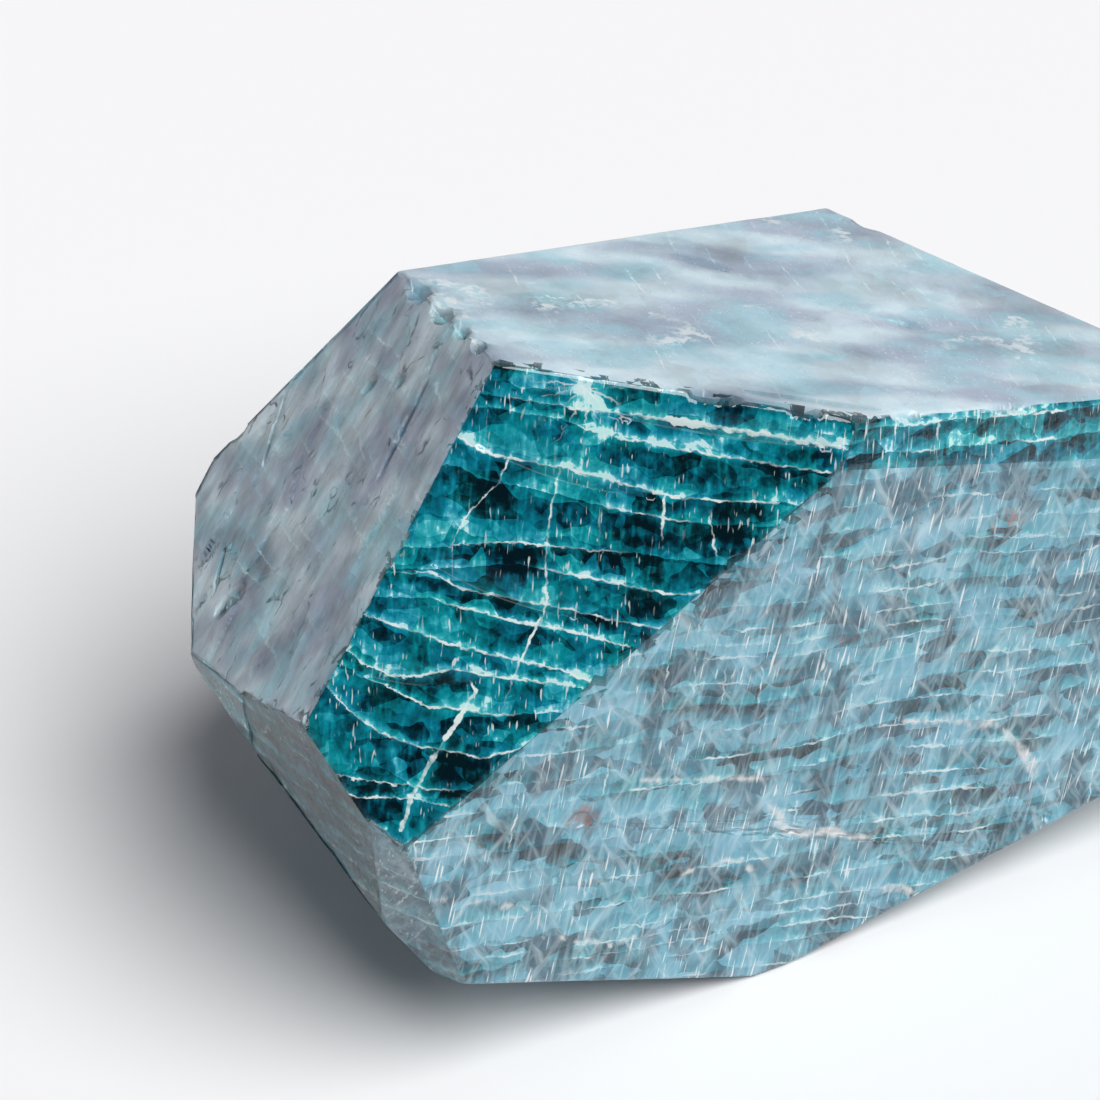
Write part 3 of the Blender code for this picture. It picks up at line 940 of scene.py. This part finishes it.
class APATITE_OT_stage(bpy.types.Operator):
    """Add the white floor, the soft light, the pale surroundings and the camera"""

    bl_idname = "apatite.stage"
    bl_label = "Add stage"

    def execute(self, context):
        settings = context.scene.apatite_stage
        bpy.ops.object.select_all(action="DESELECT")
        bpy.ops.mesh.primitive_plane_add(size=settings.floor_size, location=(0, 0, FLOOR_HEIGHT))
        floor = context.object
        floor.name = "studio_floor"
        bpy.ops.object.transform_apply(location=True)
        floor.data.materials.append(white_card())

        # The key light: a big soft box far to the front right, high above the stone.
        bpy.ops.object.light_add(type="SUN")
        key = context.object
        key.name = "soft_box"
        key.data.energy = settings.light_strength
        key.data.angle = settings.light_spread
        key.rotation_euler = KEY_LIGHT_FROM.to_track_quat("Z", "Y").to_euler()

        # Pale surroundings: bright near the horizon and behind the stone, dim overhead.
        world = bpy.data.worlds.new("white_studio")
        context.scene.world = world
        world.use_nodes = True
        tree = world.node_tree
        tree.nodes.clear()
        direction = add(tree, "TexCoord").outputs["Generated"]
        _, behind, rise = add(tree, "SeparateXYZ", (direction,)).outputs
        low = add(tree, "MapRange", (rise, 0.05, 0.55, 1.0, 0.12))
        back = add(tree, "MapRange", (behind, -0.2, 0.5, 0.25, 1.0))
        glow = add(tree, "Math", (low, back), operation="MULTIPLY")
        sky = add(tree, "Background", {"Color": linear("#f4f2fa"), "Strength": glow})
        add(tree, "OutputWorld", (sky,))
        context.scene.view_settings.view_transform = "Standard"

        bpy.ops.object.camera_add(location=CAMERA_PLACE, rotation=(CAMERA_TILT, 0, 0))
        camera = context.object
        camera.data.lens = settings.lens
        camera.data.clip_start = CAMERA_NEAR
        context.scene.camera = camera
        return {"FINISHED"}


class APATITE_PT_panel(bpy.types.Panel):
    """Shows the settings of the stone and the stage, and the buttons that add them"""

    bl_label = "Apatite"
    bl_idname = "APATITE_PT_panel"
    bl_space_type = "VIEW_3D"
    bl_region_type = "UI"
    bl_category = "Apatite"

    def draw(self, context):
        for settings in (context.scene.apatite_stone, context.scene.apatite_stage):
            for name in settings.bl_rna.properties.keys():
                if name not in ("rna_type", "name"):
                    self.layout.prop(settings, name)
        for operator in OPERATORS:
            self.layout.operator(operator.bl_idname)


OPERATORS = (APATITE_OT_stone, APATITE_OT_stage)
CLASSES = (ApatiteStoneSettings, ApatiteStageSettings, *OPERATORS, APATITE_PT_panel)


def register():
    for cls in CLASSES:
        bpy.utils.register_class(cls)
    bpy.types.Scene.apatite_stone = bpy.props.PointerProperty(type=ApatiteStoneSettings)
    bpy.types.Scene.apatite_stage = bpy.props.PointerProperty(type=ApatiteStageSettings)


def unregister():
    del bpy.types.Scene.apatite_stage
    del bpy.types.Scene.apatite_stone
    for cls in reversed(CLASSES):
        bpy.utils.unregister_class(cls)


def main():
    register()
    bpy.ops.apatite.stone()
    bpy.ops.apatite.stage()


if __name__ == "__main__":
    main()
